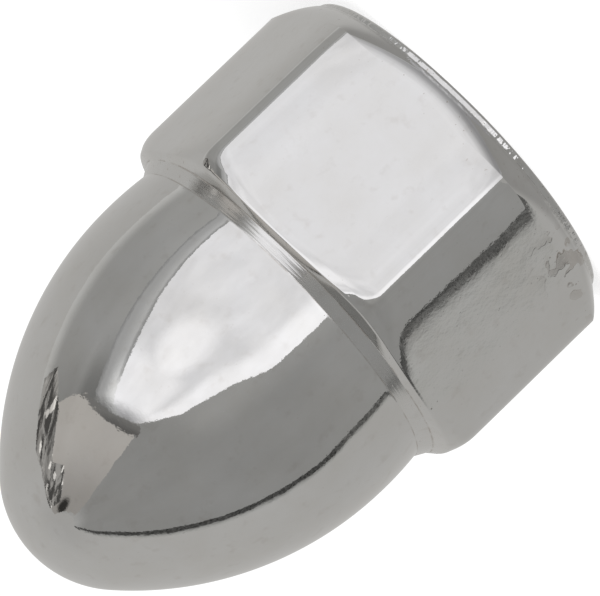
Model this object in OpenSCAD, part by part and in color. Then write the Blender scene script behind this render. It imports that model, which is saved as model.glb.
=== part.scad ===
// Cap nut with a high crown: a hexagon, a washer face under it, a chamfered and
// rounded shoulder, a steep neck, an ogive dome with a round nose, and a blind tapped hole.
// One turned piece, in millimetres. It stands on its bearing face at z = 0 with
// the dome up; +X goes out through the middle of one flat of the hexagon.

/* [Hexagon] */
// Width across the flats (9/16 inch)
across_flats = 14.29; // [14.1:0.01:15.4]
// Height of the hexagon, from the bearing face to the top of its chamfer
hex_height = 8.25; // [7.5:0.05:10]
// Turned diameter over the corners, a little less than the sharp hexagon
corner_d = 16.18; // [16.1:0.01:17.4]
// Radius on the six upright corners
corner_r = 0.70; // [0.3:0.05:1.2]

/* [Bearing face] */
// Diameter of the washer face
washer_face_d = 13.66; // [12.6:0.02:13.8]
// Height that the washer face stands out
washer_face_h = 0.28; // [0.1:0.02:0.5]
// Width of the flat step round the washer face, inside the chamfer
washer_step = 0.15; // [0.1:0.01:0.2]
// Slope of the chamfer under the corners, from the bearing plane (degrees)
base_chamfer_angle = 40; // [25:1:50]

/* [Shoulder] */
// Slope of the chamfer over the corners, from the bearing plane (degrees)
shoulder_angle = 22; // [16:1:28]
// Diameter where the chamfer breaks over to the corners' crown
shoulder_break_d = 15.22; // [14.8:0.02:15.5]
// Slope of the crown outside the chamfer, from the bearing plane (degrees)
crown_angle = 52; // [46:1:58]
// Radius that rounds the crown into the corners
shoulder_round_r = 1.20; // [0.9:0.05:1.3]
// Diameter at the foot of the neck, where the chamfer starts
neck_d = 14.12; // [14:0.02:14.3]
// Height of the steep neck between the chamfer and the dome
neck_height = 0.47; // [0.35:0.01:0.6]

/* [Dome] */
// Largest diameter of the dome
dome_d = 13.72; // [13:0.02:13.8]
// Height of the dome over the top of the chamfer
dome_height = 12.51; // [11:0.01:14]
// Height of the dome's widest ring over the top of the chamfer
dome_swell = 2.05; // [1.6:0.05:2.6]
// Radius of the round nose
nose_r = 4.08; // [3.2:0.02:4.6]

/* [Tapped hole] */
// Tap drill diameter (3/8-16)
tap_drill_d = 7.94; // [7.8:0.01:8.2]
// Depth of the full-diameter hole from the bearing face
tap_depth = 14.0; // [11:0.1:15]
// Point angle of the drill (degrees)
drill_point_angle = 118; // [110:1:140]
// Mouth diameter of the countersink
countersink_d = 10.2; // [9.6:0.1:10.8]
// Included angle of the countersink (degrees)
countersink_angle = 90; // [82:1:120]

/* [Hidden] */
$fn = 96;

// Arcs that meet a face at a tangent run past it by this much, so that the two cross
lap = 0.002;
total_height = hex_height + dome_height;
flat_r = across_flats / 2;
// Distance of the corner radii's centres from the axis
corner_c = (flat_r - corner_r) / cos(30);
// Foot of the chamfer under the corners
base_r = washer_face_d / 2 + washer_step;
// Ogive: an arc with its widest ring above the shoulder, tangent to the nose
dome_r = dome_d / 2;
dome_wide_z = hex_height + dome_swell;
nose_z = total_height - nose_r;
ogive_rise = nose_z - dome_wide_z;
ogive_r = (dome_r * dome_r + ogive_rise * ogive_rise - nose_r * nose_r)
    / (2 * (dome_r - nose_r));
ogive_c = dome_r - ogive_r;
// Height where the ogive runs into the nose
join_z = nose_z + nose_r * ogive_rise / (ogive_r - nose_r);
// Foot of the dome, where the neck's slope meets the ogive
neck_r = neck_d / 2;
foot_z = hex_height + neck_height;
foot_r = ogive_c + sqrt(ogive_r * ogive_r - pow(dome_wide_z - foot_z, 2));
// Outer edge of the chamfer
break_r = shoulder_break_d / 2;
break_z = hex_height - (break_r - neck_r) * tan(shoulder_angle);
// Rounding of the crown, tangent to its slope and to the corners
widest_r = corner_d / 2;
round_c = widest_r - shoulder_round_r;
round_start_r = round_c + shoulder_round_r * sin(crown_angle);
round_start_z = break_z - (round_start_r - break_r) * tan(crown_angle);
round_z = round_start_z - shoulder_round_r * cos(crown_angle);
drill_tip_z = tap_depth + tap_drill_d / 2 / tan(drill_point_angle / 2);
countersink_h = countersink_d / 2 / tan(countersink_angle / 2);

// Outline of the hexagon, with round corners
module hexagon_outline() {
    polygon([for (i = [0:5], s = [-1, 1])
        let (a = 30 + 60 * i, b = a + 30 * s)
        [corner_c * cos(a) + corner_r * cos(b), corner_c * sin(a) + corner_r * sin(b)]]);
    for (i = [0:5])
        rotate(30 + 60 * i) translate([corner_c, 0]) circle(r = corner_r + lap);
}

// Half section of the hexagon's ends: washer face, chamfer, body, shoulder chamfer
module hexagon_section() {
    square([washer_face_d / 2, hex_height / 2]);
    intersection() {
        polygon([
            [0, washer_face_h],
            [base_r, washer_face_h],
            [base_r + across_flats, washer_face_h + across_flats * tan(base_chamfer_angle)],
            [base_r + across_flats, total_height],
            [0, total_height]]);
        union() {
            polygon([
                [0, 0],
                [widest_r, 0],
                [widest_r, round_z],
                [round_start_r, round_start_z],
                [break_r, break_z],
                [neck_r, hex_height],
                [0, hex_height]]);
            translate([round_c, round_z]) circle(r = shoulder_round_r + lap);
        }
    }
}

// Half section of the dome: ogive side, round nose and the neck under it.
// The neck's slope runs on into the dome, by half its height
module dome_section() {
    intersection() {
        translate([ogive_c, dome_wide_z]) circle(r = ogive_r);
        translate([0, hex_height / 2]) square([dome_d, join_z - hex_height / 2]);
    }
    intersection() {
        translate([0, nose_z]) circle(r = nose_r + lap);
        translate([0, nose_z]) square([dome_d, dome_d]);
    }
    polygon([
        [0, hex_height / 2],
        [neck_r, hex_height / 2],
        [neck_r, hex_height],
        [foot_r - (neck_r - foot_r) / 2, foot_z + neck_height / 2],
        [0, foot_z + neck_height / 2]]);
}

module tapped_hole() {
    translate([0, 0, -1]) cylinder(d = tap_drill_d, h = tap_depth + 1);
    translate([0, 0, tap_depth]) cylinder(d1 = tap_drill_d, d2 = 0, h = drill_tip_z - tap_depth);
    translate([0, 0, -1]) cylinder(
        r1 = countersink_d / 2 + tan(countersink_angle / 2), r2 = 0, h = countersink_h + 1);
}

module cap_nut() {
    color("silver") difference() {
        intersection() {
            rotate_extrude() {
                hexagon_section();
                dome_section();
            }
            translate([0, 0, -1]) linear_extrude(total_height + 2) hexagon_outline();
        }
        tapped_hole();
    }
}

cap_nut();
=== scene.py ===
from math import asin, atan2, cos, degrees, dist, pi, radians, sin, tan

import bpy
from bpy.props import (FloatProperty, FloatVectorProperty, IntProperty,
                       PointerProperty)
from mathutils import Matrix, Vector


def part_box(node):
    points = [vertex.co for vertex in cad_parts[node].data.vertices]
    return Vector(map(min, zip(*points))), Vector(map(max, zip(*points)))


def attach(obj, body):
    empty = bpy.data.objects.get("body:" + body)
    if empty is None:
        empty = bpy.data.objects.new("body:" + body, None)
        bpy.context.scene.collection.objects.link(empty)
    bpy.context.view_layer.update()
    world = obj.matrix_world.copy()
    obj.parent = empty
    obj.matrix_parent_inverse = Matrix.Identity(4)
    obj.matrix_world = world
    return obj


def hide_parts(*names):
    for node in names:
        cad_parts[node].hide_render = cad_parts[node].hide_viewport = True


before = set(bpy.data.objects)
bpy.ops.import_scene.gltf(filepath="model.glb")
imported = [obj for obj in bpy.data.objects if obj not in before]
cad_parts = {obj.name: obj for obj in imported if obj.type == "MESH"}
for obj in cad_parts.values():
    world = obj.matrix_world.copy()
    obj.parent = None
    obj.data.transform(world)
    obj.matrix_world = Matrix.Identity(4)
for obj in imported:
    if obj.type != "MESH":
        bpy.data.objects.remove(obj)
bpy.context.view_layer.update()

bl_info = {
    "name": "High-crown cap nut",
    "version": (1, 0, 0),
    "blender": (4, 5, 0),
    "location": "View3D > Sidebar > Cap nut",
    "description": "Builds a chrome-plated cap nut with its thread, and a small studio for it",
    "category": "Object",
}

NUT_LOW, NUT_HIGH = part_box("cap_nut")
MM = 0.001
DRILL_POINT = radians(118)
# Thread: mesh rings in one pitch, then the shares of the hole's depth where it is gone
# and over which it fades, then half widths of its groove in pitches
THREAD_STEPS = 16
THREAD_GONE = 0.93
THREAD_FADE = 0.06
GROOVE_MOUTH = 0.375
GROOVE_ROOT = 0.0625
# How far the steps round the nut crowd together at the hexagon's corners, from 0 to 1
CROWDING = 0.75
# The cards carry their directions as a map, in degrees divided by this
AIM_UNIT = 100.0
FLOOR_RADIUS = 1.2
FLOOR_STEPS = 96
# Light that the floor gives by itself to the eye
FLOOR_GLOW = 0.66
# Height on the axis that the camera turns round, as a share of the width across flats
CAMERA_HEIGHT = 0.7


def length(name, text, default, low=0.0, high=0.1):
    return FloatProperty(name=name, description=text, default=default, min=low, max=high,
                         subtype="DISTANCE", unit="LENGTH", precision=5)


def angle(name, text, default, low=-180.0, high=180.0):
    return FloatProperty(name=name, description=text, default=radians(default),
                         min=radians(low), max=radians(high), subtype="ANGLE", unit="ROTATION")


def colour(name, text, default):
    return FloatVectorProperty(name=name, description=text, default=default, size=3,
                               min=0.0, max=1.0, subtype="COLOR")


class CAPNUT_PG_sizes(bpy.types.PropertyGroup):
    """Sizes of the nut"""
    height: length("Height", "Bearing face to the tip of the dome", NUT_HIGH[2])
    across_flats: length("Across flats", "Width of the hexagon across its flats",
                         NUT_HIGH[0] - NUT_LOW[0])
    hex_height: length("Hexagon height", "Bearing face to the top of the chamfer", 8.25 * MM)
    across_corners: length("Across corners", "Turned width over the corners", 16.18 * MM)
    corner_radius: length("Corner radius", "Radius on the six upright corners", 0.70 * MM)
    flat_rolloff: length("Flat roll-off", "How far polishing has rolled the flats over at "
                         "their edges", 0.0516 * MM)
    flat_true: length("True flat", "Half width of the part of each flat that is still flat",
                      1.6 * MM)
    edge_softness: length("Edge softness", "Width of the polished blend between the flats "
                          "and the shoulder", 0.85 * MM)
    base_softness: length("Base softness", "Width of the polished blend between the flats "
                          "and the base chamfer", 0.90 * MM)
    washer_round: length("Washer face rounding", "Radius round the washer face's edge", 0.11 * MM)
    washer_diameter: length("Washer face diameter", "Diameter of the washer face", 13.66 * MM)
    washer_height: length("Washer face height", "How far the washer face stands out",
                          0.28 * MM)
    washer_step: length("Washer face step", "Flat step round the washer face", 0.15 * MM)
    base_chamfer: angle("Base chamfer", "Slope of the chamfer under the corners", 40)
    shoulder_angle: angle("Shoulder angle", "Slope of the chamfer over the corners", 22)
    shoulder_break: length("Shoulder break", "Diameter where the chamfer turns over", 15.22 * MM)
    crown_angle: angle("Crown angle", "Slope of the corners outside the chamfer", 52)
    shoulder_round: length("Shoulder rounding", "Radius that rounds the corners over", 1.20 * MM)
    neck_diameter: length("Neck diameter", "Diameter where the chamfer starts", 14.12 * MM)
    neck_height: length("Neck height", "Height of the steep neck over the chamfer", 0.47 * MM)
    dome_diameter: length("Dome diameter", "Widest diameter of the dome", 13.72 * MM)
    dome_swell: length("Dome swell", "Height of the widest ring over the chamfer", 2.05 * MM)
    nose_radius: length("Nose radius", "Radius of the round nose", 4.08 * MM)
    bore_diameter: length("Bore diameter", "Minor diameter of the internal thread", 7.94 * MM)
    bore_depth: length("Bore depth", "Full-diameter depth of the tapped hole", 14.0 * MM)
    thread_pitch: length("Thread pitch", "Rise of the thread in one turn", 1.5875 * MM)
    thread_depth: length("Thread depth", "Depth of the thread's groove", 0.79 * MM)
    countersink: length("Countersink", "Mouth diameter of the countersink", 10.2 * MM)
    segments: IntProperty(name="Segments", description="Steps round the nut, a multiple of six",
                          default=288, min=48, max=720)


class CAPNUT_PG_finish(bpy.types.PropertyGroup):
    """Colours and fine texture of the plating"""
    chrome: colour("Chrome", "Colour of the bright plating", (0.64, 0.64, 0.635))
    # This colour also paints the shade in the neck's creases
    stain_and_crease_shade: colour("Stain", "Colour of the small brown stains and pits", (0.30, 0.25, 0.20))
    grain: length("Orange peel", "Size of the fine waviness left by polishing", 0.17 * MM)
    grain_height: length("Orange peel height", "Height of the fine waviness", 0.0008 * MM)


class CAPNUT_PG_studio(bpy.types.PropertyGroup):
    """Camera, cards and floor of the studio"""
    camera_azimuth: angle("Camera azimuth", "Direction of the camera round the nut", -15.42)
    camera_elevation: angle("Camera elevation", "Height of the camera as an angle", 10.5)
    camera_roll: angle("Camera roll", "Turn of the camera about its own axis", -133.98)
    camera_distance: length("Camera distance", "From the middle of the nut", 0.4083, 0.05, 5.0)
    focal_length: FloatProperty(name="Focal length", description="Focal length in millimetres",
                                default=704.2, min=10.0, max=2000.0)
    aim_right: length("Aim right", "Aim to the right of the nut's middle", 1.628 * MM)
    aim_up: length("Aim up", "Aim above the nut's middle", 1.502 * MM)
    card_distance: length("Card distance", "Distance of the studio's cards", 1.0, 0.2, 10.0)
    floor_colour: colour("Floor", "Colour of the floor", (0.80, 0.80, 0.80))


# ---------------------------------------------------------------- node helpers

class Nodes:
    """Adds nodes to a tree and links what it is given to their inputs"""

    def __init__(self, tree):
        self.tree = tree

    def add(self, kind, *inputs, out=0, named=None, **settings):
        node = self.tree.nodes.new(kind)
        for key, value in settings.items():
            setattr(node, key, value)
        pairs = list(zip(node.inputs, inputs))
        pairs += [(node.inputs[key], value) for key, value in (named or {}).items()]
        for socket, value in pairs:
            if isinstance(value, bpy.types.NodeSocket):
                self.tree.links.new(value, socket)
            elif value is not None:
                socket.default_value = value
        return node.outputs[out] if out is not None else node

    def math(self, operation, *inputs):
        return self.add("ShaderNodeMath", *inputs, operation=operation)

    def remap(self, value, low, high, to_low=0.0, to_high=1.0, kind="SMOOTHSTEP"):
        return self.add("ShaderNodeMapRange", value, low, high, to_low, to_high,
                        interpolation_type=kind)


def emptied(block):
    """Node helper for a material or a world, with its first nodes taken out"""
    block.use_nodes = True
    block.node_tree.nodes.clear()
    return Nodes(block.node_tree)


def arc(cx, cz, r, start, end, steps):
    """Points on an arc, without its last one"""
    return [(cx + r * cos(start + (end - start) * i / steps),
             cz + r * sin(start + (end - start) * i / steps)) for i in range(steps)]


def line(a, b, steps):
    """Points on a line, without its last one"""
    return [(a[0] + (b[0] - a[0]) * i / steps, a[1] + (b[1] - a[1]) * i / steps)
            for i in range(steps)]


def softened(before, corner, after, cut, steps=5):
    """Points that round a corner off, starting and ending a short cut away from it"""
    start, end = (tuple(c + (e - c) * min(0.45, cut / dist(corner, side))
                        for c, e in zip(corner, side)) for side in (before, after))
    points = []
    for i in range(steps + 1):
        t = i / steps
        points.append(tuple((1 - t) ** 2 * a + 2 * t * (1 - t) * b + t ** 2 * c
                            for a, b, c in zip(start, corner, end)))
    return points


# ---------------------------------------------------------------- the nut

def nut_profile(s):
    """Half section from the tip, down the outside and up the tapped hole.
    Each point is (radius, height, follows the hexagon, has the thread)."""
    dome = s.dome_diameter / 2
    wide_z = s.hex_height + s.dome_swell
    nose_z = s.height - s.nose_radius
    rise = nose_z - wide_z
    ogive = (dome ** 2 + rise ** 2 - s.nose_radius ** 2) / (2 * (dome - s.nose_radius))
    ogive_c = dome - ogive
    join = atan2(rise, -ogive_c)
    # A steep neck leads from the dome to the chamfer
    shoulder = s.neck_diameter / 2
    neck_z = s.hex_height + s.neck_height
    foot = asin((neck_z - wide_z) / ogive)
    widest = s.across_corners / 2
    crown = s.shoulder_round
    bend = s.shoulder_break / 2
    bend_z = s.hex_height - (bend - shoulder) * tan(s.shoulder_angle)
    crown_c = widest - crown
    slope = pi / 2 - s.crown_angle
    turn_r = crown_c + crown * cos(slope)
    turn_z = bend_z - (turn_r - bend) * tan(s.crown_angle)
    crown_z = turn_z - crown * sin(slope)
    base = s.washer_diameter / 2 + s.washer_step
    base_z = s.washer_height + (widest - base) * tan(s.base_chamfer)
    rim = s.washer_diameter / 2
    edge = s.washer_round
    outside = arc(0, nose_z, s.nose_radius, pi / 2, join, 16)
    outside += arc(ogive_c, wide_z, ogive, join, foot, 60)
    path = [outside[-1], (ogive_c + ogive * cos(foot), neck_z), (shoulder, s.hex_height),
            (bend, bend_z), (turn_r, turn_z)]
    # Polishing has softened the neck's two ends and the chamfer's outer edge
    for i, soft in ((1, 0.05), (2, 0.03), (3, 0.10)):
        outside += softened(path[i - 1], path[i], path[i + 1], soft * MM)
    outside += arc(crown_c, crown_z, crown, slope, 0, 24)
    outside += line((widest, crown_z), (widest, base_z), 4)
    outside += line((widest, base_z), (base, s.washer_height), 22)
    outside += line((base, s.washer_height), (rim, s.washer_height), 3)
    outside += line((rim, s.washer_height), (rim, edge), 3)
    outside += arc(rim - edge, edge, edge, 0, -pi / 2, 8)
    # The bearing face, with its last ring close to the countersink's mouth
    mouth = s.countersink / 2
    outside += line((rim - edge, 0), (mouth + 0.05 * MM, 0), 4)
    points = [(r, z, 1.0, 0.0) for r, z in outside]

    # Up the hole: countersink, thread, plain end and drill point
    bore = s.bore_diameter / 2
    ring_rise = s.thread_pitch / THREAD_STEPS
    z = 0.0
    while z < s.bore_depth - 1e-9:
        groove = min(1.0, max(0.0, (THREAD_GONE - z / s.bore_depth) / THREAD_FADE))
        points.append((max(bore, mouth - z), z, 0.0, groove))
        z += ring_rise if groove > 0 else ring_rise * 4
    tip = s.bore_depth + bore / tan(DRILL_POINT / 2)
    points += [(r, z, 0.0, 0.0) for r, z in line((bore, s.bore_depth), (0, tip), 5)]
    points.append((0.0, tip, 0.0, 0.0))
    return points


def nut_tree():
    """Geometry Nodes: turns a half section round, limits it to a hexagon and cuts a thread"""
    tree = bpy.data.node_groups.new("Turned cap nut", "GeometryNodeTree")
    face = tree.interface
    face.new_socket("Geometry", in_out="OUTPUT", socket_type="NodeSocketGeometry")
    face.new_socket("Section", in_out="INPUT", socket_type="NodeSocketGeometry")
    face.new_socket("Segments", in_out="INPUT", socket_type="NodeSocketInt")
    for name in ("Across Flats", "Corner Radius", "Flat Roll-off", "True Flat", "Edge Softness",
                 "Base Softness", "Hexagon Height", "Minor Radius", "Thread Pitch",
                 "Thread Depth"):
        face.new_socket(name, in_out="INPUT", socket_type="NodeSocketFloat")
    face.new_socket("Material", in_out="INPUT", socket_type="NodeSocketMaterial")
    n = Nodes(tree)
    group = n.add("NodeGroupInput", out=None).outputs
    section, segments = group["Section"], group["Segments"]

    size = n.add("GeometryNodeAttributeDomainSize", section, component="MESH")
    columns = n.math("ADD", segments, 1.0)
    grid = n.add("GeometryNodeMeshGrid", 1.0, 1.0, columns, size)
    place = n.add("ShaderNodeSeparateXYZ", n.add("GeometryNodeInputPosition"), out=None)
    column = n.math("ROUND", n.math("MULTIPLY", n.math("ADD", place.outputs[0], 0.5), segments))
    rings = n.math("SUBTRACT", size, 1.0)
    ring = n.math("ROUND", n.math("MULTIPLY", n.math("ADD", place.outputs[1], 0.5), rings))

    def sample(value, kind="FLOAT"):
        return n.add("GeometryNodeSampleIndex", section, named={"Value": value, "Index": ring},
                     data_type=kind, domain="POINT")

    point = n.add("ShaderNodeSeparateXYZ",
                  sample(n.add("GeometryNodeInputPosition"), "FLOAT_VECTOR"), out=None)
    r, z = point.outputs[0], point.outputs[2]
    follows = sample(n.add("GeometryNodeInputNamedAttribute", "follows_hexagon",
                           data_type="FLOAT"))
    groove = sample(n.add("GeometryNodeInputNamedAttribute", "groove", data_type="FLOAT"))

    # Angle of each step round the nut, and its part inside its own sixth
    sixth = n.math("MULTIPLY", n.math("DIVIDE", column, segments), 6.0)
    sector = n.math("FLOOR", sixth)
    across = n.math("SUBTRACT", n.math("MULTIPLY", n.math("FRACT", sixth), 2.0), 1.0)
    bent = n.math("MULTIPLY", n.math("SINE", n.math("MULTIPLY", across, pi / 2)), CROWDING)
    even = n.math("MULTIPLY", across, 1.0 - CROWDING)
    local = n.math("MULTIPLY", n.math("ADD", bent, even), pi / 6)
    turn = n.math("ADD", n.math("MULTIPLY", sector, pi / 3), local)

    # Radius of the hexagon in that direction: a flat, or the corner's arc
    flat = n.math("MULTIPLY", group["Across Flats"], 0.5)
    radius = group["Corner Radius"]
    off = n.math("ABSOLUTE", local)
    along = n.math("MULTIPLY", flat, n.math("TANGENT", off))
    straight = n.math("DIVIDE", flat, n.math("COSINE", off))
    centre = n.math("DIVIDE", n.math("SUBTRACT", flat, radius), cos(pi / 6))
    slant = n.math("SUBTRACT", pi / 6, off)
    side = n.math("MULTIPLY", centre, n.math("SINE", slant))
    gap = n.math("SUBTRACT", n.math("MULTIPLY", radius, radius), n.math("MULTIPLY", side, side))
    round_r = n.math("ADD", n.math("MULTIPLY", centre, n.math("COSINE", slant)),
                     n.math("SQRT", n.math("MAXIMUM", gap, 0.0)))
    reach = n.math("MULTIPLY", n.math("SUBTRACT", flat, radius), tan(pi / 6))
    on_arc = n.math("GREATER_THAN", along, reach)
    hexagon = n.add("GeometryNodeSwitch", on_arc, straight, round_r, input_type="FLOAT")
    # Polishing rolls the flats over towards their upright edges
    past = n.math("MAXIMUM", n.math("SUBTRACT", along, group["True Flat"]), 0.0)
    span = n.math("SUBTRACT", reach, group["True Flat"])
    share = n.math("MINIMUM", n.math("DIVIDE", past, span), 1.0)
    rolled = n.math("MULTIPLY", n.math("MULTIPLY", share, share), group["Flat Roll-off"])
    hexagon = n.math("SUBTRACT", hexagon, rolled)
    # The turned surface limits the hexagon, with one softness below and another above
    up = n.math("DIVIDE", z, group["Hexagon Height"])
    softness = n.remap(up, 0.25, 0.65, group["Base Softness"], group["Edge Softness"])
    limited = n.math("SMOOTH_MIN", r, hexagon, softness)
    outside = n.add("GeometryNodeSwitch", n.math("GREATER_THAN", follows, 0.5), r, limited,
                    input_type="FLOAT")

    # Internal thread: a groove with 60 degree flanks that climbs one pitch a turn
    climb = n.math("SUBTRACT", n.math("DIVIDE", z, group["Thread Pitch"]),
                   n.math("DIVIDE", turn, 2 * pi))
    from_root = n.math("ABSOLUTE", n.math("SUBTRACT", n.math("FRACT", n.math("ADD", climb, 4.0)),
                                          0.5))
    flank = n.add("ShaderNodeMapRange", from_root, GROOVE_MOUTH, GROOVE_ROOT, 0.0, 1.0)
    cut = n.math("MULTIPLY", n.math("MULTIPLY", flank, groove), group["Thread Depth"])
    threaded = n.math("MAXIMUM", outside, n.math("ADD", group["Minor Radius"], cut))
    final = n.add("GeometryNodeSwitch", n.math("GREATER_THAN", groove, 0.0), outside, threaded,
                  input_type="FLOAT")

    where = n.add("ShaderNodeCombineXYZ", n.math("MULTIPLY", final, n.math("COSINE", turn)),
                  n.math("MULTIPLY", final, n.math("SINE", turn)), z)
    moved = n.add("GeometryNodeSetPosition", grid, named={"Position": where})
    # Close the seam and the two ends on the axis
    joined = n.add("GeometryNodeMergeByDistance", moved, named={"Distance": 1e-7})
    turned = n.add("GeometryNodeFlipFaces", joined)
    smooth = n.add("GeometryNodeSetShadeSmooth", turned)
    real = n.add("GeometryNodeRealizeInstances", smooth)
    done = n.add("GeometryNodeSetMaterial", real, named={"Material": group["Material"]})
    n.add("NodeGroupOutput", done, out=None)
    return tree


def thin_line(n, value, place, half):
    """One along a line where the value is at its place, fading over half its width"""
    off = n.math("ABSOLUTE", n.math("SUBTRACT", value, place))
    return n.remap(off, half, 0.0)


def chrome_material(finish, sizes):
    """Bright plating over polished steel, with faint waviness, turning lines, pits, stains and
    painted shade in the neck's creases
    """
    mat = bpy.data.materials.new("bright_chrome")
    n = emptied(mat)
    place = n.add("ShaderNodeTexCoord", out=3)
    xyz = n.add("ShaderNodeSeparateXYZ", place, out=None).outputs
    y, z = xyz[1], xyz[2]

    def noise(size, detail=2.0, rough=0.5, shift=0.0):
        spot = n.add("ShaderNodeVectorMath", place, (shift, shift, shift), operation="ADD")
        return n.add("ShaderNodeTexNoise", spot, named={"Scale": 1.0 / size, "Detail": detail,
                                                        "Roughness": rough})

    # Heights where things gather: by the bearing face, and about the neck
    low = n.remap(z, 2.6 * MM, 0.5 * MM)
    over = n.math("SUBTRACT", z, sizes.hex_height)
    neck = n.math("MULTIPLY", n.remap(over, -0.9 * MM, -0.2 * MM),
                  n.remap(over, 0.7 * MM, 0.4 * MM))
    # Dried spots with darker rims, by the bearing face on the side that the nut has lain on
    lain_on = n.remap(y, -5.5 * MM, -6.2 * MM)
    patches = n.math("MULTIPLY", n.remap(noise(3.2 * MM, 2.0, 0.5, 0.013), 0.38, 0.52), lain_on)
    gather = n.math("MULTIPLY", low, patches)
    spill = noise(0.75 * MM, 2.0, 0.55, 0.011)
    rim = n.math("MULTIPLY", thin_line(n, spill, 0.575, 0.034), noise(0.5 * MM, 1.0, 0.5, 0.07))
    dried = n.math("MAXIMUM", rim, n.math("MULTIPLY", n.remap(spill, 0.54, 0.62), 0.36))
    # Tiny pits, most of them at those two heights
    where = n.math("ADD", n.math("MAXIMUM", n.math("MULTIPLY", neck, 0.6), low), 0.14)
    pores = n.math("MULTIPLY", n.remap(noise(0.17 * MM, 1.0, 0.5, 0.052), 0.71, 0.80),
                   n.math("MULTIPLY", where, 0.5))
    stain_and_crease_shade = n.math("MAXIMUM", pores, n.math("MULTIPLY", dried, gather))
    # Darker lines painted into the creases at the two ends of the neck: painted shade in the
    # creases, with some grime
    corners = n.math("MAXIMUM", thin_line(n, over, 0.0, 0.035 * MM),
                     thin_line(n, over, sizes.neck_height, 0.035 * MM))
    broken = n.remap(noise(0.9 * MM, 3.0, 0.6, 0.021), 0.35, 0.60)
    crease_shade_and_grime = n.math("MULTIPLY", n.math("MULTIPLY", corners, broken), 0.45)
    # From here on the stain value also holds the painted shade in the neck's creases
    stain_and_crease_shade = n.math("MAXIMUM", stain_and_crease_shade, crease_shade_and_grime)
    # Faint smudges all over change the colour and nothing else
    smudge = n.math("MULTIPLY", n.remap(noise(0.50 * MM, 2.0, 0.5, 0.040), 0.56, 0.82), 0.14)
    veil = n.math("MAXIMUM", stain_and_crease_shade, smudge)
    haze = n.remap(noise(2.4 * MM, 4.0, 0.62, 0.027), 0.30, 0.72, 0.0, 1.0, "LINEAR")
    tone = n.add("ShaderNodeMix", named={"Factor": haze}, data_type="RGBA", out=2)
    mix = tone.node
    mix.inputs[6].default_value = (*finish.chrome, 1.0)
    mix.inputs[7].default_value = (finish.chrome[0] * 0.94, finish.chrome[1] * 0.93,
                                   finish.chrome[2] * 0.91, 1.0)
    # The stain colour covers the stains, the pits, the smudges and the painted shade in the
    # neck's creases
    coat = n.add("ShaderNodeMix", named={"Factor": veil}, data_type="RGBA", out=2)
    n.tree.links.new(tone, coat.node.inputs[6])
    coat.node.inputs[7].default_value = (*finish.stain_and_crease_shade, 1.0)

    # The turned band from the chamfer's top to the dome is duller than the rest
    band = n.math("MULTIPLY", n.remap(over, -0.35 * MM, -0.05 * MM),
                  n.remap(over, 0.60 * MM, 0.42 * MM))
    worn = n.math("ADD", n.math("MULTIPLY", stain_and_crease_shade, 0.45), n.math("MULTIPLY", band, 0.13))
    rough = n.math("ADD", n.math("ADD", n.math("MULTIPLY", haze, 0.015), 0.022), worn)

    # Orange peel, stronger on the hexagon, longer polish waves, turning lines on the band,
    # and small dents round the side of the washer face
    fine = n.math("MULTIPLY", noise(finish.grain, 2.0, 0.6, 0.004),
                  n.remap(over, -0.4 * MM, 0.2 * MM, 1.25, 1.0))
    ripple = n.math("MULTIPLY", noise(0.9 * MM, 1.0, 0.4, 0.017), 3.6)
    wave = n.math("MULTIPLY", noise(2.6 * MM, 1.0, 0.4, 0.009), 6.0)
    smear = n.add("ShaderNodeVectorMath", place, (1.0, 1.0, 18.0), operation="MULTIPLY")
    tool = n.add("ShaderNodeTexNoise", smear, named={"Scale": 1.0 / (2.2 * MM), "Detail": 2.0,
                                                     "Roughness": 0.65})
    lines = n.math("MULTIPLY", n.math("MULTIPLY", tool, band), 6.0)
    dents = n.math("MULTIPLY", n.math("MULTIPLY", noise(0.30 * MM, 2.0, 0.5, 0.031), 85.0),
                   n.math("MULTIPLY", n.remap(z, 0.46 * MM, 0.30 * MM),
                          n.remap(z, 0.02 * MM, 0.10 * MM, 0.12, 1.0)))
    pits = n.math("MULTIPLY", stain_and_crease_shade, -6.0)
    height = n.math("ADD", n.math("ADD", fine, n.math("ADD", ripple, wave)),
                    n.math("ADD", n.math("ADD", lines, dents), pits))
    bump = n.add("ShaderNodeBump", named={"Strength": 1.0, "Distance": finish.grain_height,
                                          "Height": height})
    shader = n.add("ShaderNodeBsdfPrincipled", named={
        "Base Color": coat, "Metallic": 1.0, "Roughness": rough, "Normal": bump})
    n.add("ShaderNodeOutputMaterial", shader, out=None)
    return mat


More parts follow.
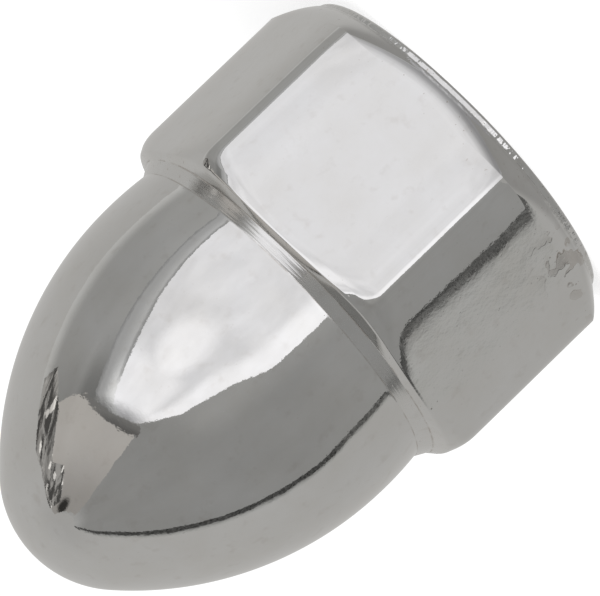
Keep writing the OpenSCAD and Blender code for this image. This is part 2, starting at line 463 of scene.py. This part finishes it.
class CAPNUT_OT_nut(bpy.types.Operator):
    """Build the nut from its half section, with its thread, and plate it"""
    bl_idname = "capnut.make_nut"
    bl_label = "Make the cap nut"

    def execute(self, context):
        s = context.scene.capnut_sizes
        points = nut_profile(s)
        section = bpy.data.meshes.new("nut_section")
        section.from_pydata([(p[0], 0.0, p[1]) for p in points],
                            [(i, i + 1) for i in range(len(points) - 1)], [])
        for name, column in (("follows_hexagon", 2), ("groove", 3)):
            values = section.attributes.new(name, "FLOAT", "POINT")
            values.data.foreach_set("value", [p[column] for p in points])
        maker = bpy.data.objects.new("nut_maker", section)
        context.scene.collection.objects.link(maker)
        material = chrome_material(context.scene.capnut_finish, s)

        tree = nut_tree()
        modifier = maker.modifiers.new("Turned cap nut", "NODES")
        modifier.node_group = tree
        values = {"Segments": s.segments, "Across Flats": s.across_flats,
                  "Corner Radius": s.corner_radius, "Flat Roll-off": s.flat_rolloff,
                  "True Flat": s.flat_true,
                  "Edge Softness": s.edge_softness, "Base Softness": s.base_softness,
                  "Hexagon Height": s.hex_height, "Minor Radius": s.bore_diameter / 2,
                  "Thread Pitch": s.thread_pitch, "Thread Depth": s.thread_depth,
                  "Material": material}
        for item in tree.interface.items_tree:
            if item.in_out == "INPUT" and item.name in values:
                modifier[item.identifier] = values[item.name]
        context.view_layer.update()
        graph = context.evaluated_depsgraph_get()
        mesh = bpy.data.meshes.new_from_object(maker.evaluated_get(graph))
        maker.modifiers.clear()
        bpy.data.objects.remove(maker)
        mesh.name = "plated_nut"
        if len(mesh.polygons) < 1000:
            raise RuntimeError("the nut's tree made no mesh")
        nut = bpy.data.objects.new("plated_nut", mesh)
        context.scene.collection.objects.link(nut)
        mesh.materials.clear()
        mesh.materials.append(material)
        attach(nut, "root")
        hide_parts("cap_nut")
        return {"FINISHED"}


# ---------------------------------------------------------------- the studio

def toward(azimuth, elevation):
    """Direction at an angle round the nut and above the floor, both in degrees"""
    a, e = radians(azimuth), radians(elevation)
    return Vector((cos(e) * cos(a), cos(e) * sin(a), sin(e)))


def lit_cloth(name, tint, paint):
    """Glowing card. paint is given a node helper, the card's map of directions, and the
    sockets of its azimuth and elevation, and gives back the card's level."""
    mat = bpy.data.materials.new(name)
    mat.cycles.emission_sampling = "NONE"
    n = emptied(mat)
    aim = n.add("ShaderNodeUVMap", uv_map="aim")
    split = n.add("ShaderNodeSeparateXYZ", aim, out=None)
    level = paint(n, aim, split.outputs[0], split.outputs[1])
    glow = n.add("ShaderNodeEmission", (*tint, 1.0), level)
    n.add("ShaderNodeOutputMaterial", glow, out=None)
    return mat


def clouds(n, aim, size, low, high, **settings):
    """Soft blotches of a size in degrees"""
    spots = n.add("ShaderNodeTexNoise", aim, named={"Scale": AIM_UNIT / size, "Detail": 3.0,
                                                    **settings})
    return n.remap(spots, 0.3, 0.7, low, high, "LINEAR")


def tent_level(n, aim, a, e):
    """Tent: a little brighter behind and above, and dimmer at its foot and its roof"""
    side = n.math("ADD", n.remap(n.math("ABSOLUTE", a), 1.0, 1.55, 0.56, 0.575),
                  n.remap(e, -0.05, 0.25, 0.0, 0.03))
    under = n.remap(e, -0.30, -0.60, 1.0, 0.68)
    return n.math("MULTIPLY", side, n.math("MULTIPLY", under, n.remap(e, 0.55, 0.85, 1.0, 0.90)))


def wall_level(n, aim, a, e):
    """Grey wall: lighter by the softbox, along its top and at its far end, with a shade
    beside the scrim"""
    near = n.math("MULTIPLY", n.remap(a, -0.34, -0.12, 0.0, 0.09), n.remap(e, 0.40, 0.22))
    top = n.remap(e, 0.745, 0.81, 0.0, 0.13)
    far = n.remap(a, 1.04, 1.15, 0.0, 0.23)
    lit = n.math("ADD", n.remap(e, 0.05, -0.2, 0.0, 0.04), n.remap(a, 0.68, 0.88, 0.0, -0.035))
    cloth = n.math("ADD", clouds(n, aim, 22, 0.35, 0.38), lit)
    level = n.math("ADD", n.math("ADD", cloth, near), n.math("MAXIMUM", top, far))
    shade = n.math("MULTIPLY", n.remap(a, 0.56, 0.62), n.remap(a, 0.80, 0.70))
    shade = n.math("MULTIPLY", shade, n.remap(e, 0.12, 0.36))
    return n.math("SUBTRACT", level, n.math("MULTIPLY", shade, 0.13))


def gap_level(n, aim, a, e):
    """Dark gap at the wall's edge, which the tent's light creeps into from one side.
    A coarse weave shows in its dark part."""
    edge = n.add("ShaderNodeUVMap", uv_map="across")
    ragged = n.math("SUBTRACT", clouds(n, aim, 5, 0.0, 0.22), 0.11)
    u = n.math("ADD", n.add("ShaderNodeSeparateXYZ", edge), ragged)
    soft = n.remap(u, 0.05, 0.50, 0.55, 0.32)
    core = n.remap(e, -0.07, -0.03, 0.46, 0.26)
    weave = n.add("ShaderNodeVectorMath", aim, (1.0, 2.2, 0.0), operation="MULTIPLY")
    core = n.math("MULTIPLY", core, clouds(n, weave, 1.3, 0.2, 1.8))
    return n.math("MULTIPLY", soft, n.remap(u, 0.38, 0.56, 1.0, core))


def softbox_level(n, aim, a, e):
    """Softbox: bright by its slanted edge, round its lamp and over it, with soft clouds,
    and fading out at both ends"""
    edge = n.add("ShaderNodeUVMap", uv_map="across")
    strip = n.remap(n.add("ShaderNodeSeparateXYZ", edge), 0.24, 0.10, 0.0, 0.33)
    reach = n.add("ShaderNodeVectorMath", aim, (0.27, 0.14, 0.0), operation="DISTANCE", out=1)
    core = n.remap(reach, 0.18, 0.08, 0.0, 0.34)
    top = n.math("MULTIPLY", n.remap(e, 0.19, 0.26, 0.0, 0.25), n.remap(a, 0.06, 0.18))
    most = n.math("MAXIMUM", strip, n.math("MAXIMUM", core, top))
    plain = n.remap(e, -0.08, 0.05, 1.10, 1.02)
    level = n.math("ADD", n.math("ADD", plain, most), clouds(n, aim, 12, -0.07, 0.07))
    ends = n.math("MULTIPLY", n.remap(e, 0.37, 0.43, 1.0, 0.36),
                  n.remap(e, -0.15, -0.72, 1.0, 0.35))
    return n.math("MULTIPLY", level, ends)


def scrim_level(n, aim, a, e):
    """Strip of scrim behind the softbox's far side, with the dark line of its edge"""
    edge = n.add("ShaderNodeUVMap", uv_map="across")
    u = n.add("ShaderNodeSeparateXYZ", edge)
    line = n.math("MINIMUM", n.remap(u, 0.05, 0.22, 0.62, 1.0), n.remap(u, 0.97, 0.80, 0.72, 1.0))
    high = n.remap(e, 0.22, 0.36)
    glow = n.math("MULTIPLY", n.remap(u, 0.75, 0.0), n.math("ADD", 0.18, n.math("MULTIPLY", high,
                                                                                0.45)))
    line = n.math("MAXIMUM", line, n.math("MULTIPLY", high, n.remap(u, 0.5, 0.3)))
    level = n.math("MULTIPLY", n.math("ADD", 0.50, glow), line)
    return n.math("MULTIPLY", level, n.remap(e, 0.38, 0.42, 1.0, 0.5))


def seam_level(n, aim, a, e):
    """Dark seam over the softbox"""
    return n.remap(e, 0.42, 0.46, 0.24, 0.15)


def board_level(n, aim, a, e):
    """Board over the softbox, with the dark lamp head that hangs before its top"""
    plain = n.math("MULTIPLY", n.remap(e, 0.50, 0.76, 0.60, 0.42), clouds(n, aim, 30, 0.97, 1.03))
    spot = n.add("ShaderNodeVectorMath", aim, (1.0, 4.2, 0.0), operation="MULTIPLY")
    reach = n.add("ShaderNodeVectorMath", spot, (0.51, 4.2 * 0.775, 0.0), operation="DISTANCE",
                  out=1)
    return n.math("MULTIPLY", plain, n.remap(reach, 0.08, 0.20, 0.10, 1.0))


def clutter_level(n, aim, a, e):
    """Things on a shelf: dark gaps and a few bright spots"""
    shape = n.add("ShaderNodeVectorMath", aim, (1.0, 0.55, 0.0), operation="MULTIPLY")
    gaps = n.add("ShaderNodeTexNoise", shape, named={"Scale": 15.0, "Detail": 2.0,
                                                     "Distortion": 1.2})
    level = n.remap(gaps, 0.42, 0.60, 0.09, 0.46)
    bright = n.add("ShaderNodeTexNoise", aim, named={"Scale": 17.0, "Detail": 1.0})
    return n.math("ADD", level, n.remap(bright, 0.61, 0.68, 0.0, 0.75))


def card(context, name, rows, material, distance, far_edge=None):
    """A card bent round the nut. rows are (elevation, azimuth from, azimuth to) in degrees,
    with azimuths counted from the camera's direction. Where far_edge is given, each row
    runs to its own point (elevation, azimuth) there."""
    studio = context.scene.capnut_studio
    turn = degrees(studio.camera_azimuth)
    middle = Vector((0, 0, studio_middle(context)))
    steps = 24
    verts, aims, shares = [], [], []
    for k, (low, start, end) in enumerate(rows):
        high, end = far_edge[k] if far_edge else (low, end)
        for i in range(steps + 1):
            azimuth = start + (end - start) * i / steps
            elevation = low + (high - low) * i / steps
            verts.append(middle + toward(azimuth + turn, elevation) * distance)
            aims.append((azimuth / AIM_UNIT, elevation / AIM_UNIT))
            shares.append((i / steps, 0.0))
    faces = []
    for row in range(len(rows) - 1):
        for i in range(steps):
            k = row * (steps + 1) + i
            faces.append((k, k + 1, k + steps + 2, k + steps + 1))
    mesh = bpy.data.meshes.new(name)
    mesh.from_pydata(verts, [], faces)
    for layer, values in (("aim", aims), ("across", shares)):
        uv = mesh.uv_layers.new(name=layer)
        for loop in mesh.loops:
            uv.data[loop.index].uv = values[loop.vertex_index]
    mesh.materials.append(material)
    piece = bpy.data.objects.new(name, mesh)
    context.scene.collection.objects.link(piece)
    hide_from_all_but_metal(piece)


def hide_from_all_but_metal(piece):
    """A studio card shows in polished metal and nowhere else"""
    piece.visible_camera = False
    piece.visible_diffuse = False
    piece.visible_shadow = False
    piece.visible_transmission = False
    piece.visible_volume_scatter = False


def studio_middle(context):
    """Height of the point that the cards stand round"""
    return context.scene.capnut_sizes.height / 2


def rows_between(path_left, path_right, steps=24):
    """Rows of a card between two edges, each a list of (elevation, azimuth)"""
    low = max(path_left[0][0], path_right[0][0])
    high = min(path_left[-1][0], path_right[-1][0])

    def at(path, e):
        for (e0, a0), (e1, a1) in zip(path, path[1:]):
            if e0 <= e <= e1:
                return a0 + (a1 - a0) * (e - e0) / (e1 - e0)
        return path[-1][1]

    rows = []
    for i in range(steps + 1):
        e = low + (high - low) * i / steps
        rows.append((e, at(path_left, e), at(path_right, e)))
    return rows


def make_floor(scene, studio):
    """White floor, which gives some light of its own so that its shadow stays faint"""
    mesh = bpy.data.meshes.new("floor")
    turns = [2 * pi * i / FLOOR_STEPS for i in range(FLOOR_STEPS)]
    ring = [(FLOOR_RADIUS * cos(turn), FLOOR_RADIUS * sin(turn), 0.0) for turn in turns]
    mesh.from_pydata(ring, [], [tuple(range(FLOOR_STEPS))])
    floor = bpy.data.objects.new("floor", mesh)
    scene.collection.objects.link(floor)
    mat = bpy.data.materials.new("floor_paint")
    n = emptied(mat)
    paint = n.add("ShaderNodeBsdfDiffuse", (*studio.floor_colour, 1.0))
    seen = n.add("ShaderNodeLightPath")
    lift = n.add("ShaderNodeEmission", (1.0, 1.0, 1.0, 1.0),
                 n.math("MULTIPLY", seen, FLOOR_GLOW))
    n.add("ShaderNodeOutputMaterial", n.add("ShaderNodeAddShader", paint, lift), out=None)
    mesh.materials.append(mat)
    floor.visible_glossy = False


def hang_cards(context, far):
    """Cards that the metal mirrors, the nearest at the given distance"""
    # Tent all round, the grey wall inside it, and the dark gap at the wall's edge
    tent = lit_cloth("tent_cloth", (1.0, 0.985, 0.96), tent_level)
    card(context, "tent", [(e, -180, 180) for e in range(-90, 91, 10)], tent, far * 1.2)
    grey = lit_cloth("grey_cloth", (1.0, 0.995, 0.975), wall_level)
    slit = [(-40, -86), (-8, -86), (0, -87.6), (20, -88), (30, -87.6), (40, -86),
            (50, -83.7), (61, -78.7), (69, -73.7), (74, -67.5), (77.5, -60), (81, -48)]
    half = [(-40, 1.35), (-8, 1.35), (-3, 1.5), (20, 1.9), (81, 2.2)]
    wall_end = [(-40, 115), (26, 115), (45, 108), (57, 97), (63, 93), (75, 78), (81, 38)]
    card(context, "grey_wall", rows_between(slit, wall_end), grey, far * 1.1)
    dark = lit_cloth("gap", (1.0, 0.995, 0.965), gap_level)
    # The gap is wide on the tent's side of its line, where light creeps in, and narrow
    # on the wall's
    gap = [(e, a, w) for (e, a, _), (_, w, _) in zip(rows_between(slit, slit, 40),
                                                     rows_between(half, half, 40))]
    card(context, "wall_gap", [(e, a - 2.8 * w, a + w) for e, a, w in gap], dark, far * 1.08)

    # Softbox, the scrim behind its far side, and the seam and the board over it
    box_left = [(-80, -30), (-32, -21), (-1, -19), (2, -17.5), (11, -11), (21, -6),
                (30, -2.5), (35, 4), (39, 10), (41, 15), (42.5, 24)]
    box_right = [(-80, 72), (-32, 65), (-20, 64), (-10, 62), (5, 59), (15, 55.5),
                 (27, 50.5), (36, 47), (40, 43), (42.5, 34)]
    scrim_end = [(-80, 82), (-32, 75), (-10, 73), (7, 71), (22, 67.5), (30, 64),
                 (40, 61), (42.5, 50)]
    card(context, "softbox", rows_between(box_left, box_right, 44),
         lit_cloth("softbox_cloth", (1.02, 1.015, 1.04), softbox_level), far)
    card(context, "scrim", rows_between(box_right, scrim_end),
         lit_cloth("scrim_cloth", (1.0, 1.0, 1.0), scrim_level), far * 1.03)
    seam = lit_cloth("seam", (1.0, 0.98, 0.95), seam_level)
    bands = [(10, 43.5, 45.5), (14, 41.7, 46), (36, 42.5, 46), (48, 41.5, 44.5),
             (58, 40, 42.5), (67, 38, 39.5), (74, 37.4, 38)]
    card(context, "softbox_seam", [(e, a, a) for a, e, _ in bands], seam, far * 1.01,
         [(e, a) for a, _, e in bands])
    beige = lit_cloth("board", (1.0, 0.955, 0.905), board_level)
    card(context, "board", rows_between([(37.6, 68), (39.5, 66), (42.5, 57), (45, 44),
                                         (45.8, 12), (57, 10), (67, 6), (73, 0), (80, -6)],
                                        [(37.6, 93), (44, 92), (60, 92), (80, 84)], 40),
         beige, far * 1.05)

    # Shelf with things on it
    shelf = lit_cloth("shelf", (1.0, 0.97, 0.93), clutter_level)
    card(context, "shelf", rows_between([(26, 103), (40, 90), (57, 86), (60, 68), (75, 60)],
                                        [(26, 113), (45, 109), (57, 98), (63, 94), (75, 88)]),
         shelf, far * 1.04)


def light_studio(scene):
    """Light on the floor, and a white world"""
    sun = bpy.data.lights.new("key", "SUN")
    sun.energy = 0.9
    sun.angle = radians(40)
    lamp = bpy.data.objects.new("key", sun)
    lamp.rotation_euler = (radians(35), radians(25), radians(20))
    lamp.visible_glossy = False
    scene.collection.objects.link(lamp)
    world = bpy.data.worlds.new("studio")
    n = emptied(world)
    path = n.add("ShaderNodeLightPath", out=None).outputs
    direct = n.math("MAXIMUM", path["Is Camera Ray"],
                    n.math("MAXIMUM", path["Is Glossy Ray"], path["Is Transmission Ray"]))
    level = n.add("ShaderNodeMapRange", direct, 0.0, 1.0, 0.35, 1.0)
    sky = n.add("ShaderNodeBackground", (1.0, 1.0, 1.0, 1.0), level)
    n.add("ShaderNodeOutputWorld", sky, out=None)
    scene.world = world
    scene.view_settings.view_transform = "Standard"


def place_camera(scene, studio):
    """Camera on its long lens, turned and shifted about the nut"""
    a, e, roll = studio.camera_azimuth, studio.camera_elevation, studio.camera_roll
    back = toward(degrees(a), degrees(e))
    up0 = Vector((-sin(e) * cos(a), -sin(e) * sin(a), cos(e)))
    right0 = up0.cross(back)
    right = right0 * cos(roll) + up0 * sin(roll)
    up = up0 * cos(roll) - right0 * sin(roll)
    middle = Vector((0.0, 0.0, CAMERA_HEIGHT * scene.capnut_sizes.across_flats))
    eye = middle + back * studio.camera_distance
    aim = middle + right * studio.aim_right + up * studio.aim_up
    look = (eye - aim).normalized()
    side = up.cross(look).normalized()
    top = look.cross(side)
    camera = bpy.data.cameras.new("camera")
    camera.lens = studio.focal_length
    camera.sensor_width = 36.0
    camera.clip_start = 0.01
    camera.clip_end = 20.0
    eyepiece = bpy.data.objects.new("camera", camera)
    eyepiece.matrix_world = Matrix((
        (side.x, top.x, look.x, eye.x), (side.y, top.y, look.y, eye.y),
        (side.z, top.z, look.z, eye.z), (0, 0, 0, 1)))
    scene.collection.objects.link(eyepiece)
    scene.camera = eyepiece


class CAPNUT_OT_stage(bpy.types.Operator):
    """Set up the floor, the cards that the metal mirrors, the light and the camera"""
    bl_idname = "capnut.make_stage"
    bl_label = "Make the studio"

    def execute(self, context):
        scene = context.scene
        studio = scene.capnut_studio
        make_floor(scene, studio)
        hang_cards(context, studio.card_distance)
        light_studio(scene)
        place_camera(scene, studio)
        return {"FINISHED"}


class CAPNUT_PT_panel(bpy.types.Panel):
    """Sizes, finish and studio of the cap nut"""
    bl_label = "Cap nut"
    bl_idname = "CAPNUT_PT_panel"
    bl_space_type = "VIEW_3D"
    bl_region_type = "UI"
    bl_category = "Cap nut"

    def draw(self, context):
        layout = self.layout
        for operator in (CAPNUT_OT_nut, CAPNUT_OT_stage):
            layout.operator(operator.bl_idname)
        for group in ("capnut_sizes", "capnut_finish", "capnut_studio"):
            box = layout.box()
            settings = getattr(context.scene, group)
            for name in settings.__annotations__:
                box.prop(settings, name)


CLASSES = (CAPNUT_PG_sizes, CAPNUT_PG_finish, CAPNUT_PG_studio, CAPNUT_OT_nut, CAPNUT_OT_stage,
           CAPNUT_PT_panel)


def register():
    for cls in CLASSES:
        bpy.utils.register_class(cls)
    bpy.types.Scene.capnut_sizes = PointerProperty(type=CAPNUT_PG_sizes)
    bpy.types.Scene.capnut_finish = PointerProperty(type=CAPNUT_PG_finish)
    bpy.types.Scene.capnut_studio = PointerProperty(type=CAPNUT_PG_studio)


def unregister():
    for name in ("capnut_sizes", "capnut_finish", "capnut_studio"):
        delattr(bpy.types.Scene, name)
    for cls in reversed(CLASSES):
        bpy.utils.unregister_class(cls)


def main():
    register()
    bpy.ops.capnut.make_nut()
    bpy.ops.capnut.make_stage()


if __name__ == "__main__":
    main()
